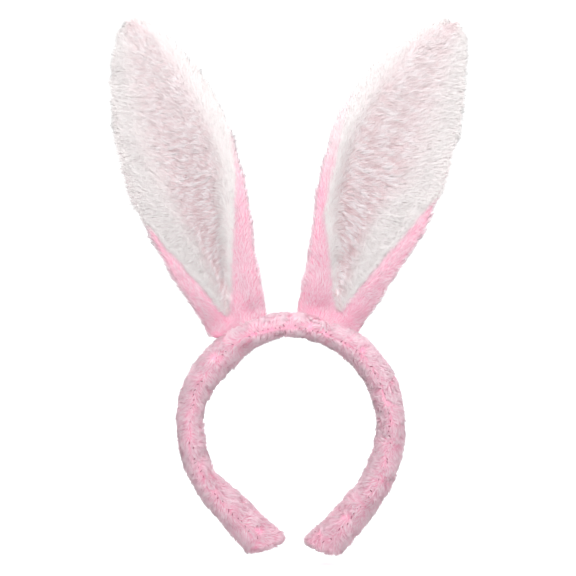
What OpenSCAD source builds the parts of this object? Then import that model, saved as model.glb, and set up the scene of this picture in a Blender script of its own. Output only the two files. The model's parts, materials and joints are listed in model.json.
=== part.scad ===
// Plush animal ears headband: a sprung plastic band wrapped in foam and pink plush,
// with two wired ears that swing on straight wire legs held in sewn pads.
// +Z is up, -Y is the front. The origin is the centre of the head circle.

/* [Band] */
// Radius of the head circle, at the inner face of the plush
head_r = 54; // [50:0.5:60]
// Thickness of the plush band, measured away from the head
band_t = 19; // [17:0.5:22]
// Width of the plush band, front to back
band_w = 24; // [22:0.5:28]
// Angle from the crown at which the round part of the band ends
arc_end = 134; // [126:1:136]
// Length of the straight tail of each arm
tail_len = 42; // [34:1:44]
// Thickness of the plush band at the tips
tip_t = 26; // [22:0.5:27]
// Width of the plush band at the tips
tip_w = 27; // [25:0.5:30]

/* [Flex] */
// Angle from the crown at which each arm flexes
flex_at = 62; // [60:1:70]
// Furthest that an arm opens
flex_max = 24; // [16:1:24]

/* [Ears] */
// Length of an ear from its hinge to its tip
ear_len = 203; // [180:1:215]
// Half of the ear's greatest width
ear_half_w = 39.5; // [34:0.5:42]
// Half of the ear's width at its base
ear_base_half_w = 20; // [18:0.5:24]
// Angle of the left ear's hinge from the crown
left_ear_at = 28.5; // [24:0.5:30]
// Angle of the right ear's hinge from the crown
right_ear_at = 22; // [20:0.5:30]
// Lean of the left ear away from upright
left_ear_lean = 18; // [16:0.5:20]
// Lean of the right ear away from upright
right_ear_lean = 19.5; // [16:0.5:20]
// Depth of the ear's hollow front
cup_depth = 11; // [4:0.5:14]
// Half of the thickness of the stuffed ear
ear_half_t = 5.2; // [4.8:0.1:5.5]

/* [Hidden] */

$fn = 48;
LEFT = -1;
RIGHT = 1;

pink = "pink";
white = "whitesmoke";

// Band sections: [thickness away from the head, width front to back, corner radius]
sleeve_wall = 2;
sleeve_corner = 7;
foam_corner = 5;
soft_gap = 0.05;
taper_gap = 0.25;
core_t = 2;
core_w = 11;
core_gap = 0.1;
mid_r = head_r + band_t / 2;
out_r = head_r + band_t;

// The flex joint is a round end that turns in a round hollow. Both are centred on the core.
flex_r = band_t / 2 - 0.3;
flex_gap = flex_r * (1 / cos(flex_max) - 1) + 0.05;
core_cup_gap = core_t / 2 * (1 / cos(flex_max) - 1) + 0.03;

// Tails: the first stretch keeps the band's section, so that it stays clear of the head circle.
tail_plain = 8;
core_short = 12;

// Ear roots
leg_r = 0.8;
leg_half = 16;
pad_half = 15;
pad_r = 2.4;
pad_foot = 3.8;
leg_above_band = 3.4;
bore_gap = 0.06;

// Ear layers, as shares of the half width
panel_start = 3.2;
rim_share = 0.92;
cavity_share = 0.94;
wire_share = 0.75;
filler_share = 0.66;
cavity_half_t = 2.2;
layer_gap = 0.15;
filler_gap = 0.5;
front_v_slope = 0.39;
front_v_start = 1;
back_bow = 9;
steps_low = 9;
steps_high = 12;

// Threads
thread_r = 0.4;
stitch_len = 4.2;
stitch_pitch = 5.2;

// ---------------------------------------------------------------- band

// A rectangle with round corners: [away from the head, front to back].
module rounded(t, w, r) {
    for (i = [-1, 1], j = [-1, 1])
        translate([i * (t / 2 - r), j * (w / 2 - r)]) circle(r = r);
    square([t, w - 2 * r], center = true);
    square([t - 2 * r, w], center = true);
}

module sleeve_outline() {
    rounded(band_t, band_w, sleeve_corner);
}

module sleeve_hollow() {
    rounded(band_t - 2 * sleeve_wall, band_w - 2 * sleeve_wall, foam_corner);
}

module sleeve_section() {
    difference() {
        sleeve_outline();
        sleeve_hollow();
    }
}

module core_slot() {
    square([core_t + 2 * core_gap, core_w + 2 * core_gap], center = true);
}

module foam_section() {
    inset = sleeve_wall + soft_gap;
    difference() {
        rounded(band_t - 2 * inset, band_w - 2 * inset, foam_corner);
        core_slot();
    }
}

// Everything is drawn on the right and mirrored for the left.
module on(side) {
    mirror([side == LEFT ? 1 : 0, 0, 0]) children();
}

// Sweeps a section over angles a to b from the crown, round the right-hand side.
module arc(a, b) {
    rotate([90, 0, 0])
        rotate(90 - b)
            rotate_extrude(angle = b - a, $fn = 160)
                translate([mid_r, 0]) children();
}

// Places children at an angle from the crown: X away from the head, Z along the band towards the tip.
module at_angle(a, r = mid_r) {
    rotate([0, a, 0])
        translate([0, 0, r])
            rotate([0, -90, 0])
                mirror([0, 0, 1])
                    children();
}

// The pin-shaped volume about a flex axis.
module flex_round(r) {
    at_angle(flex_at)
        rotate([90, 0, 0]) cylinder(r = r, h = 2 * band_w, center = true, $fn = 64);
}

// Side view of the crown: a wedge between the flex axes, with a round end about each.
module crown_side_view() {
    far = 3 * mid_r;
    polygon([
        [0, 0],
        [far * sin(flex_at), far * cos(flex_at)],
        [far * sin(flex_at), 2 * far],
        [-far * sin(flex_at), 2 * far],
        [-far * sin(flex_at), far * cos(flex_at)]
    ]);
    for (side = [LEFT, RIGHT])
        translate([side * mid_r * sin(flex_at), mid_r * cos(flex_at)]) circle(r = flex_r, $fn = 64);
}

// A layer of the crown: its section swept past both flex axes, then trimmed to the side view.
module crown_layer() {
    intersection() {
        arc(-flex_at - 14, flex_at + 14) children();
        rotate([90, 0, 0]) linear_extrude(2 * band_w, center = true) crown_side_view();
    }
}

// The fan in which the arm's core swings, inside the crown's round end.
module core_fan() {
    reach = flex_r + 2;
    half_t = core_t / 2 + core_gap + 0.3;
    at_angle(flex_at)
        rotate([90, 0, 0])
            linear_extrude(core_w + 4 * core_gap, center = true)
                polygon([
                    [-half_t, -1.5],
                    [half_t, -1.5],
                    [reach * tan(flex_max + 1) + half_t, reach],
                    [-reach * tan(4) - half_t, reach]
                ]);
}

module band_core_crown() {
    color("ivory") {
        arc(-flex_at, flex_at) square([core_t, core_w], center = true);
        for (side = [LEFT, RIGHT])
            on(side)
                at_angle(flex_at)
                    rotate([90, 0, 0]) cylinder(r = core_t / 2, h = core_w, center = true);
    }
}

module band_foam_crown() {
    color("lightyellow")
        difference() {
            crown_layer() foam_section();
            for (side = [LEFT, RIGHT]) on(side) core_fan();
        }
}

module band_sleeve_crown() {
    color(pink) crown_layer() sleeve_section();
}

// The widening end of a tail. It starts a hair inside the plain stretch.
module tail_taper(inset, corner, past = 0) {
    hull() {
        translate([0, 0, tail_plain - 0.5])
            linear_extrude(0.1)
                rounded(band_t - 2 * inset - 0.4, band_w - 2 * inset - 0.4, corner, $fn = 32);
        translate([0, 0, tail_len + past - 0.1])
            linear_extrude(0.1) rounded(tip_t - 2 * inset, tip_w - 2 * inset, corner, $fn = 32);
    }
}

module core_tail(gap) {
    length = tail_len - core_short;
    translate([-core_t / 2 - gap, -core_w / 2 - gap, 0]) cube([core_t + 2 * gap, core_w + 2 * gap, length]);
    // moulded round end
    translate([0, 0, length])
        rotate([0, 90, 0]) cylinder(d = core_w + 3 + 2 * gap, h = core_t + 1 + 2 * gap, center = true);
}

module band_core() {
    color("ivory")
        difference() {
            union() {
                arc(flex_at, arc_end) square([core_t, core_w], center = true);
                at_angle(arc_end) core_tail(0);
            }
            flex_round(core_t / 2 + core_cup_gap);
        }
}

module band_foam() {
    inset = sleeve_wall + soft_gap;
    color("lightyellow") {
        difference() {
            arc(flex_at, arc_end) foam_section();
            flex_round(flex_r + flex_gap);
        }
        at_angle(arc_end)
            difference() {
                union() {
                    linear_extrude(tail_plain)
                        rounded(band_t - 2 * inset, band_w - 2 * inset, foam_corner);
                    tail_taper(sleeve_wall + taper_gap, foam_corner);
                }
                core_tail(core_gap);
            }
    }
}

module band_sleeve() {
    color(pink) {
        difference() {
            arc(flex_at, arc_end) sleeve_section();
            flex_round(flex_r + flex_gap);
        }
        at_angle(arc_end)
            difference() {
                union() {
                    linear_extrude(tail_plain) sleeve_outline();
                    tail_taper(0, sleeve_corner);
                }
                linear_extrude(tail_plain) sleeve_hollow();
                tail_taper(sleeve_wall, foam_corner, 1);
            }
    }
}

// The plush patch that closes a tip.
module end_patch() {
    color(pink)
        at_angle(arc_end) {
            translate([0, 0, tail_len + soft_gap]) linear_extrude(1.6) rounded(tip_t, tip_w, sleeve_corner);
            translate([0, 0, tail_len + 1.6]) linear_extrude(1.4) rounded(tip_t - 4, tip_w - 4, foam_corner);
        }
}

// Threads over the edge of the end patch.
module end_stitches() {
    count = 12;
    color("lightpink")
        at_angle(arc_end)
            for (i = [0 : count - 1]) {
                a = 360 * (i + 0.5) / count;
                reach_t = (tip_t / 2 + thread_r / 2) / max(abs(cos(a)), 0.001);
                reach_w = (tip_w / 2 + thread_r / 2) / max(abs(sin(a)), 0.001);
                corner_in = abs(sin(2 * a)) * 2.6;
                reach = min(reach_t, reach_w) - corner_in;
                translate([reach * cos(a), reach * sin(a), tail_len + 0.8])
                    rotate([0, 0, a])
                        rotate([20, 0, 0])
                            cylinder(r = thread_r, h = stitch_len, center = true, $fn = 16);
            }
}

// One slanted thread on the front face, half sunk in the plush.
module front_stitch() {
    translate([0, -band_w / 2, 0])
        rotate([0, 35, 0]) cylinder(r = thread_r, h = stitch_len, center = true, $fn = 16);
}

module seam_on_arc(a, b) {
    count = floor((b - a) * PI * mid_r / 180 / stitch_pitch);
    for (i = [0 : count - 1])
        at_angle(a + (b - a) * (i + 0.5) / count) front_stitch();
}

module band_seam_crown() {
    color("palevioletred")
        for (side = [LEFT, RIGHT]) on(side) seam_on_arc(0, flex_at - 4);
}

module band_seam() {
    tail_stitches = floor((tail_len - 4) / stitch_pitch);
    color("palevioletred") {
        seam_on_arc(flex_at + 13, arc_end);
        at_angle(arc_end)
            for (i = [0 : tail_stitches - 1]) {
                along = stitch_pitch * (i + 0.5);
                widen = max(0, along - tail_plain) / (tail_len - tail_plain) * (tip_w - band_w) / 2;
                translate([0, -widen, along]) front_stitch();
            }
    }
}

// ---------------------------------------------------------------- ear roots

function ear_angle(side) = side == LEFT ? left_ear_at : right_ear_at;

// Ear frame: origin on the hinge axis, X along the axis away from the crown, Z up the ear.
module at_ear(side) {
    at = ear_angle(side);
    lean = side == LEFT ? left_ear_lean : right_ear_lean;
    r = (out_r + leg_above_band) / cos(at - lean);
    translate([r * sin(at), 0, r * cos(at)]) rotate([0, lean, 0]) children();
}

// Sewn pad with a true bore for the wire's straight leg.
module ear_root_pad(side) {
    color(pink)
        difference() {
            at_ear(side)
                rotate([0, 90, 0])
                    linear_extrude(2 * pad_half, center = true) {
                        circle(r = pad_r);
                        translate([0, -pad_foot / 2]) square([14, pad_foot]);
                    }
            at_ear(side)
                rotate([0, 90, 0]) cylinder(r = leg_r + bore_gap, h = 4 * pad_half, center = true, $fn = 32);
            rotate([90, 0, 0]) cylinder(r = out_r + soft_gap, h = 4 * band_w, center = true, $fn = 160);
        }
}

// Threads that hold the pad down on the sleeve, front and back.
module ear_root_stitches(side) {
    count = 6;
    reach = 2 * asin(pad_half / out_r) * 0.86;
    color("lightpink")
        for (i = [0 : count - 1], face = [-1, 1])
            at_angle(ear_angle(side) + reach * ((i + 0.5) / count - 0.5), out_r)
                translate([0.9, face * (pad_foot / 2 + 0.5), 0])
                    rotate([0, 0, face * 35])
                        rotate([0, 90, 0]) cylinder(r = thread_r, h = 3.4, center = true, $fn = 16);
}

// ---------------------------------------------------------------- ears

// A cubic Bezier curve through p[0] to p[3].
function bezier(p, t) =
    pow(1 - t, 3) * p[0] + 3 * pow(1 - t, 2) * t * p[1] + 3 * (1 - t) * t * t * p[2] + pow(t, 3) * p[3];

widest_z = ear_len * 0.52;
lower_side = [
    [ear_base_half_w, panel_start],
    [ear_base_half_w + 2.5, ear_len * 0.15],
    [ear_half_w, ear_len * 0.3],
    [ear_half_w, widest_z]
];
upper_side = [
    [ear_half_w, widest_z],
    [ear_half_w, ear_len * 0.74],
    [ear_half_w * 0.5, ear_len],
    [0, ear_len]
];
last_step = 0.965;

// Stations up the ear: [half width, height].
stations = concat(
    [for (i = [0 : steps_low - 1]) bezier(lower_side, pow(i / steps_low, 1.2))],
    [for (i = [0 : steps_high]) bezier(upper_side, last_step * i / steps_high)]
);

function share_up(z) = max(0, z - panel_start) / (ear_len - panel_start);
function cup(z) = cup_depth * sin(180 * pow(share_up(z), 0.8)) * (1 - 0.35 * share_up(z));
function bow(z) = back_bow * pow(share_up(z), 2);
function half_t(z) = ear_half_t * (1 - 0.3 * pow(share_up(z), 3));
// Middle surface of the ear at u, from -1 at one edge to 1 at the other
function mid_y(u, z) = bow(z) - cup(z) * u * u;
// Half thickness of the outside and of the hollow, rounded off towards the edges
function outside(u, z) = half_t(z) * sqrt(max(0, 1 - pow(abs(u), 4)));
function hollow(u, z) =
    cavity_half_t * min(1, max(0.1, (ear_len - 3 - z) / 8)) * sqrt(max(0, 1 - pow(abs(u) / cavity_share, 4)));
// Edge of the white panel, as a share of the half width
function front_share(s) = min(rim_share, max(0.1, front_v_slope * (s[1] - front_v_start) / s[0]));

function put(s, u, dy) = [u * s[0], mid_y(u, s[1]) + dy, s[1]];

// Closed rings that are joined into one solid, with flat ends.
module loft(rings) {
    n = len(rings);
    m = len(rings[0]);
    points = [for (r = rings) each r];
    faces = concat(
        [[for (j = [0 : m - 1]) j]],
        [for (i = [0 : n - 2], j = [0 : m - 1])
            [i * m + j, (i + 1) * m + j, (i + 1) * m + (j + 1) % m]],
        [for (i = [0 : n - 2], j = [0 : m - 1])
            [i * m + j, (i + 1) * m + (j + 1) % m, i * m + (j + 1) % m]],
        [[for (j = [m - 1 : -1 : 0]) (n - 1) * m + j]]
    );
    polyhedron(points = points, faces = faces, convexity = 10);
}

function spread(a, b, n) = [for (i = [0 : n]) a + (b - a) * i / n];

// Pink panel: the whole back, turned over the edge as a rim round the white panel.
function back_ring(s) =
    let (w = front_share(s), z = s[1], edge = 0.999, inner = cavity_share * 0.999)
    concat(
        [for (u = spread(-w, -edge, 4)) put(s, u, -outside(u, z))],
        [for (i = [1 : 9]) let (u = -edge * cos(180 * i / 10)) put(s, u, outside(u, z))],
        [for (u = spread(edge, w, 4)) put(s, u, -outside(u, z))],
        [for (u = spread(w, inner, 3)) put(s, u, -hollow(u, z))],
        [for (i = [1 : 7]) let (u = inner * cos(180 * i / 8)) put(s, u, hollow(u, z))],
        [for (u = spread(-inner, -w, 3)) put(s, u, -hollow(u, z))]
    );

function front_ring(s) =
    let (w = front_share(s) - 0.3 / s[0], z = s[1])
    concat(
        [for (u = spread(w, -w, 8)) put(s, u, -hollow(u, z) - layer_gap)],
        [for (u = spread(-w, w, 8)) put(s, u, -outside(u, z))]
    );

function filler_ring(s) =
    let (z = s[1])
    concat(
        [for (u = spread(filler_share, -filler_share, 6)) put(s, u, hollow(u, z) - filler_gap)],
        [for (u = spread(-filler_share, filler_share, 6)) put(s, u, filler_gap - hollow(u, z))]
    );

module ear_back_panel(side) {
    color(pink) at_ear(side) loft([for (s = stations) back_ring(s)]);
}

module ear_front_panel(side) {
    color(white)
        at_ear(side) loft([for (s = stations) if (s[1] > front_v_start + 4) front_ring(s)]);
}

module ear_foam(side) {
    color("lightyellow")
        at_ear(side)
            loft([for (s = stations) if (s[1] > panel_start + 2 && s[1] < wire_arc_z - 2) filler_ring(s)]);
}

// The wire's line: up one edge, over the tip and down the other, in the hollow of the panels.
wire_low = 12;
wire_arc_z = ear_len * 0.8;
wire_top = ear_len * 0.86;
function width_at(z) = lookup(z, [for (s = stations) [s[1], s[0]]]);
function wire_at(x, z) = [x, mid_y(x / width_at(z), z), z];
wire_side = concat(
    [[leg_half, 0, 0], [leg_half + 0.2, 0, 3], wire_at(leg_half + 0.4, 8)],
    [for (s = stations) if (s[1] > wire_low && s[1] < wire_arc_z - 4) wire_at(wire_share * s[0], s[1])]
);
wire_arc = [
    for (a = [0 : 22.5 : 180])
        wire_at(
            wire_share * width_at(wire_arc_z) * cos(a),
            wire_arc_z + (wire_top - wire_arc_z) * sin(a)
        )
];
side_count = len(wire_side);
wire_line = concat(
    wire_side,
    wire_arc,
    [for (i = [side_count - 1 : -1 : 0]) [-wire_side[i][0], wire_side[i][1], wire_side[i][2]]]
);

function unit(v) = v / norm(v);
function wire_ring(line, i, n) =
    let (
        ahead = line[min(i + 1, len(line) - 1)] - line[max(i - 1, 0)],
        d = unit(ahead),
        a = [0, 1, 0],
        b = unit(cross(d, a)),
        c = cross(d, b)
    )
    [for (j = [0 : n - 1]) line[i] + leg_r * (cos(360 * j / n) * b + sin(360 * j / n) * c)];

module ear_wire(side) {
    color("silver")
        at_ear(side) {
            loft([for (i = [0 : len(wire_line) - 1]) wire_ring(wire_line, i, 8)]);
            // straight leg along the hinge axis
            rotate([0, 90, 0]) cylinder(r = leg_r, h = 2 * leg_half, center = true, $fn = 32);
            for (end = [-1, 1]) translate([end * leg_half, 0, 0]) sphere(r = leg_r, $fn = 24);
        }
}

// Threads across the line where the rim meets the white panel.
module ear_edge_seam(side) {
    color("lightpink")
        at_ear(side)
            for (i = [2 : len(stations) - 2], edge = [-1, 1]) {
                s = stations[i];
                u = edge * front_share(s);
                translate(put(s, u, -outside(u, s[1])))
                    rotate([0, 90, edge * 24]) cylinder(r = thread_r, h = 3.2, center = true, $fn = 16);
            }
}

band_core_crown();
band_foam_crown();
band_sleeve_crown();
band_seam_crown();
on(LEFT) band_core();  // left_band_core
on(LEFT) band_foam();  // left_band_foam
on(LEFT) band_sleeve();  // left_band_sleeve
on(LEFT) band_seam();  // left_band_seam
on(LEFT) end_patch();  // left_end_patch
on(LEFT) end_stitches();  // left_end_stitches
on(RIGHT) band_core();  // right_band_core
on(RIGHT) band_foam();  // right_band_foam
on(RIGHT) band_sleeve();  // right_band_sleeve
on(RIGHT) band_seam();  // right_band_seam
on(RIGHT) end_patch();  // right_end_patch
on(RIGHT) end_stitches();  // right_end_stitches
on(LEFT) ear_root_pad(LEFT);  // left_ear_root_pad
on(LEFT) ear_root_stitches(LEFT);  // left_ear_root_stitches
on(RIGHT) ear_root_pad(RIGHT);  // right_ear_root_pad
on(RIGHT) ear_root_stitches(RIGHT);  // right_ear_root_stitches
on(LEFT) ear_wire(LEFT);  // left_ear_wire
on(LEFT) ear_foam(LEFT);  // left_ear_foam
on(LEFT) ear_back_panel(LEFT);  // left_ear_back_panel
on(LEFT) ear_front_panel(LEFT);  // left_ear_front_panel
on(LEFT) ear_edge_seam(LEFT);  // left_ear_edge_seam
on(RIGHT) ear_wire(RIGHT);  // right_ear_wire
on(RIGHT) ear_foam(RIGHT);  // right_ear_foam
on(RIGHT) ear_back_panel(RIGHT);  // right_ear_back_panel
on(RIGHT) ear_front_panel(RIGHT);  // right_ear_front_panel
on(RIGHT) ear_edge_seam(RIGHT);  // right_ear_edge_seam
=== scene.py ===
import json
import math

import bpy
import bmesh
import numpy as np
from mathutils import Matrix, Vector
from mathutils.kdtree import KDTree


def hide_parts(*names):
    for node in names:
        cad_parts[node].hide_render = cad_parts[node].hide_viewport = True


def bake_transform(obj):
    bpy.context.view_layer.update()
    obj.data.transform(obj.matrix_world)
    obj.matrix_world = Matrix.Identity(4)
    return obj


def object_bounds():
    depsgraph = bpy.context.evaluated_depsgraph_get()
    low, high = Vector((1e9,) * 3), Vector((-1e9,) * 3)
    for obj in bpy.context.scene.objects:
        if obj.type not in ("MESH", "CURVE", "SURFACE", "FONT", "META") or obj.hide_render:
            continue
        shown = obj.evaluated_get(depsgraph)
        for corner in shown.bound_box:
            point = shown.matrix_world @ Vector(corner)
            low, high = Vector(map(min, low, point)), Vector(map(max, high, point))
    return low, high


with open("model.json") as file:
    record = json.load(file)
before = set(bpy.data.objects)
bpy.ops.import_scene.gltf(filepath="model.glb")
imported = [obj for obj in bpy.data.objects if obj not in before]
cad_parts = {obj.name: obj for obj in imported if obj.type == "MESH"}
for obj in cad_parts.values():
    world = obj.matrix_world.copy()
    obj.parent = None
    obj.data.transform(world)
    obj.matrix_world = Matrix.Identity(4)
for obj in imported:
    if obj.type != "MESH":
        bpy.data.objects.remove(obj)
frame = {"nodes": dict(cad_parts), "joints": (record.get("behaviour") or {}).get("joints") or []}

MM = 0.001
LEFT, RIGHT = -1, 1
NAME = {LEFT: "left", RIGHT: "right"}
cad_low, cad_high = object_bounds()
joints = {j["name"]: j for j in frame["joints"]}


# ------------------------------------------------------------------ sizes, in mm

# Band: a round arc from the crown, then a straight tail.
FLEX = Vector(joints["right_arm_flex"]["pos_m"]) / MM
MID_R = FLEX.length
ARC_END = 134.0
ARC_LEN = MID_R * math.radians(ARC_END)
# The straight tails, and the whole length from the crown to each tip
TAIL = {LEFT: 46.0, RIGHT: 43.5}
BAND_LEN = {side: ARC_LEN + TAIL[side] for side in TAIL}
# Each end is rounded over CAP mm, and cut on a slant, longer on the inside of the ring, over SLANT_LEN mm.
CAP = 5.5
CAP_RINGS = 6
TIP_SLANT = 0.55
SLANT_LEN = 16
# Depth of the plush outside and inside the middle line: (degrees from the crown, outside, inside)
BAND_DEPTH = {
    LEFT: ((-10, 7.4, 4.4), (8, 7.4, 4.6), (24, 7.4, 6.4), (42, 7.2, 9.4), (56, 7.7, 8.0), (75, 7.7, 5.8),
           (100, 6.7, 5.2), (120, 7.4, 4.8), (134, 8.6, 7.0), (150, 9.8, 8.6), (175, 10.6, 10.4)),
    RIGHT: ((-10, 7.4, 4.4), (8, 7.4, 4.6), (24, 8.0, 4.9), (42, 8.8, 5.1), (66, 9.0, 5.2), (84, 8.2, 4.9),
            (100, 7.6, 6.8), (120, 8.3, 7.4), (134, 8.8, 7.0), (150, 10.0, 7.8), (175, 10.6, 9.4)),
}
# How far each arm's plush stands off the core's line at its tip, and where it starts to, in degrees
ARM_OPEN = {LEFT: 0.0, RIGHT: 4.5}
OPEN_FROM = 80
# Each half of the band runs this far past the crown, into the other half.
CROWN_LAP = 5.0
BAND_HALF_W = 9.8
TIP_HALF_W = 10.8
# Share of the arc after which the band widens to its tip
WIDENS_FROM = 0.85
# Roundness of the section: 1 is an ellipse, less is squarer, more is sharper
FRONT_ROUND_W, FRONT_ROUND_OUT, BACK_ROUND = 1.12, 0.92, 0.8
# The groove along the closing seam: its depth, and its half width in radians round the section
SEAM_GROOVE = 0.4
GROOVE_SPREAD = 0.2
RING_STEP = 3.6
RING_POINTS = 32
# Unevenness of the skins: (height in mm, size of the bumps in mm, seed)
BAND_LUMPS = ((0.45, 22, 11), (0.2, 9, 21))
EAR_LUMPS = ((0.35, 26, 31), (0.15, 10, 41))

# Stitches: the closing seam's threads, and the threads round each tip
STITCH_PITCH = 3.4
STITCH_R = 0.24
STITCH_ARCH = 1.5
STITCH_POINTS, STITCH_RINGS = 6, 5
TIP_STITCHES = 12
TIP_STITCH_LEN = 3.4
TIP_STITCH_BACK = 6.0
TIP_OUT = 10.6

# Ears, in each ear's own frame: x away from the crown, z up the ear.
EAR_LEN = 201.5
EAR_HALF_W = 36.4
# The bowl of the ear is measured from a slightly wider outline, the one its wire lies in.
BOWL_HALF_W = 39.5
EAR_ROOT_HALF_W = 17.5
# How much wider the foot of an ear is: [towards the crown, away from it]
FOOT_FLARE = {LEFT: (4.5, 0.0), RIGHT: (5.5, 0.3)}
FLARE_TOP = 48.0
# Each ear's own outline: (share of the way up, share of the even width, mm drawn away from the crown)
EAR_SHAPE = {
    LEFT: ((0, 0.98, 0), (0.3, 0.97, 0), (0.6, 0.955, 0),
           (0.8, 0.92, 0.6), (0.9, 0.85, 1.4), (1, 0.74, 2.6)),
    RIGHT: ((0, 1.0, -0.4), (0.35, 1.04, -1.0), (0.6, 1.03, -2.0),
            (0.74, 0.98, 0.0), (0.87, 0.92, 2.6), (1, 0.86, 9.0)),
}
EAR_WIDEST = 0.52
EAR_FOOT = -9.0
EAR_HALF_T = 3.9
EAR_CUP = 11.0
EAR_BOW = 9.0
EAR_ROWS = 54
EAR_FACE_POINTS = 26
# The white panel's two edges leave its point at these slopes.
WHITE_START = {LEFT: (0.6, 1.1), RIGHT: (0.4, 0.4)}
WHITE_SLOPE = {LEFT: (0.372, 0.432), RIGHT: (0.50, 0.39)}
# The pink rim towards the crown: its width, and the heights over which the width goes to nothing
INNER_RIM = 5.0
INNER_RIM_FADE = (84, 134)
# Over these heights the same rim pales, as far as RIM_PALES_TO.
RIM_PALES = (62, 120)
RIM_PALES_TO = 0.72
# How much deeper the hollow in the white panel is near the foot
VALLEY_DEEP = {LEFT: 2.5, RIGHT: 2.4}
# The hollow in the white panel, as shares of the way from its inner to its outer edge
INNER_STRIP = (0.10, 0.22)
OUTER_STRIP_LOW, OUTER_STRIP_HIGH = (0.46, 0.62), (0.54, 0.88)
RIM_RISE = 1.3
# Over these heights the white pile turns over the edge, and over the tip, to the back.
OVER_EDGE = (112, 136)
OVER_TIP = (EAR_LEN - 14, EAR_LEN - 6)

# Cloth simulation
CLOTH_FRAMES = 20
# The band's seam is held more firmly once every SEWN_PITCH mm.
SEWN_PITCH = 10.4
BAND_PRESSURE, EAR_PRESSURE = 30.0, 4.0
PUFF_CAP = 1.8

# Pile: lengths in mm, strands to the square mm
BAND_PILE = 4.6
PINK_PILE = 4.8
WHITE_PILE = 6.0
BAND_PER_MM2 = 2.5
PINK_PER_MM2 = 2.2
WHITE_PER_MM2 = 3.3
# The shortest and longest strands, as shares of the pile's length, and the thinnest and thickest, in mm
STRAND_LENGTHS = (0.75, 1.15)
BAND_STRAND_W, EAR_STRAND_W = (0.26, 0.42), (0.24, 0.38)
# Strands in one piece, and how deep their roots are sunk in the skin
PIECE_STRANDS = 19400
ROOT_SUNK = 0.3
# How much of a strand's shading follows the skin, and how much its own roundness
SKIN_SHARE = 0.72
# At the outline the strands keep more of their own roundness, so that none turn dark.
OUTLINE_SHARE = 0.25
# About this many strands share one tuft.
CLUMP_OF = 15
# Streaks in the white pile: their width, and how far they lean at the foot
STREAK_SIZE = 2.4
STREAK_LEAN = math.radians(40)


# ------------------------------------------------------------------ small helpers

def smooth(a, b, x):
    """0 up to a, 1 from b, with a soft step between."""
    t = np.clip((x - a) / (b - a), 0, 1)
    return t * t * (3 - 2 * t)


def unit(v):
    return v / np.maximum(np.linalg.norm(v, axis=-1, keepdims=True), 1e-9)


def ripples(p, size, seed, count=9):
    """A smooth random field, about -1 to 1, with bumps about size mm across."""
    r = np.random.default_rng(seed)
    ways = unit(r.normal(size=(count, 3))) * (2 * np.pi / size * r.uniform(0.6, 1.5, count))[:, None]
    return np.sin(p @ ways.T + r.uniform(0, 2 * np.pi, count)).sum(1) / math.sqrt(count)


def bezier(p, t):
    p = np.array(p, float)
    t = np.asarray(t, float)[:, None]
    return (1 - t) ** 3 * p[0] + 3 * (1 - t) ** 2 * t * p[1] + 3 * (1 - t) * t * t * p[2] + t ** 3 * p[3]


def srgb(r, g, b):
    c = np.array((r, g, b), float) / 255
    return (*np.where(c <= 0.04045, c / 12.92, ((c + 0.055) / 1.055) ** 2.4), 1.0)


def skin_object(name, rings, marks):
    """A closed loft through rings (n, m, 3) in mm, with a pole at each end. marks: {name: (n, m)}."""
    n, m = rings.shape[:2]
    points = np.concatenate([rings.reshape(-1, 3), rings[0].mean(0)[None], rings[-1].mean(0)[None]])
    first, last = n * m, n * m + 1
    faces = [
        (i * m + j, i * m + (j + 1) % m, (i + 1) * m + (j + 1) % m, (i + 1) * m + j)
        for i in range(n - 1) for j in range(m)
    ]
    faces += [(first, (j + 1) % m, j) for j in range(m)]
    faces += [(last, (n - 1) * m + j, (n - 1) * m + (j + 1) % m) for j in range(m)]
    mesh = bpy.data.meshes.new(name)
    mesh.from_pydata((points * MM).tolist(), [], faces)
    bm = bmesh.new()
    bm.from_mesh(mesh)
    bmesh.ops.recalc_face_normals(bm, faces=bm.faces)
    bm.to_mesh(mesh)
    bm.free()
    for key, v in marks.items():
        flat = np.concatenate([v.reshape(-1), [v[0].mean()], [v[-1].mean()]]).astype(np.float32)
        mesh.attributes.new(key, "FLOAT", "POINT").data.foreach_set("value", flat)
    obj = bpy.data.objects.new(name, mesh)
    bpy.context.scene.collection.objects.link(obj)
    return obj


def coords(mesh):
    """The vertices, in metres."""
    co = np.empty(len(mesh.vertices) * 3, np.float32)
    mesh.vertices.foreach_get("co", co)
    return co.reshape(-1, 3).astype(float)


def mark(mesh, key):
    """A skin's own marks, one number a vertex."""
    v = np.empty(len(mesh.vertices), np.float32)
    mesh.attributes[key].data.foreach_get("value", v)
    return v.astype(float)


def puff(obj, pinned, pressure):
    """Fills the skin by a cloth simulation; no point moves more than PUFF_CAP mm."""
    group = obj.vertex_groups.new(name="sewn")
    for level in np.unique(np.round(pinned, 1)):
        if level > 0:
            group.add(np.flatnonzero(np.round(pinned, 1) == level).tolist(), float(level), "REPLACE")
    start = coords(obj.data)
    cloth = obj.modifiers.new("Cloth", "CLOTH")
    s = cloth.settings
    s.quality = 6
    s.mass = 0.15
    s.tension_stiffness = 12
    s.compression_stiffness = 12
    s.shear_stiffness = 5
    s.bending_stiffness = 0.4
    s.vertex_group_mass = "sewn"
    s.use_pressure = True
    s.uniform_pressure_force = pressure
    s.effector_weights.gravity = 0
    for f in range(1, CLOTH_FRAMES + 1):
        bpy.context.scene.frame_set(f)
    now = coords(obj.evaluated_get(bpy.context.evaluated_depsgraph_get()).data)
    obj.modifiers.remove(cloth)
    bpy.context.scene.frame_set(1)
    move = np.nan_to_num(now - start)
    far = np.linalg.norm(move, axis=1, keepdims=True)
    move *= np.minimum(1, PUFF_CAP * MM / np.maximum(far, 1e-9))
    obj.data.vertices.foreach_set("co", (start + move).astype(np.float32).reshape(-1))
    obj.data.update()
    obj.vertex_groups.clear()
    print("puff", obj.name, "moved up to %.2f mm, mean %.2f" % (far.max() / MM, far.mean() / MM))


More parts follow.
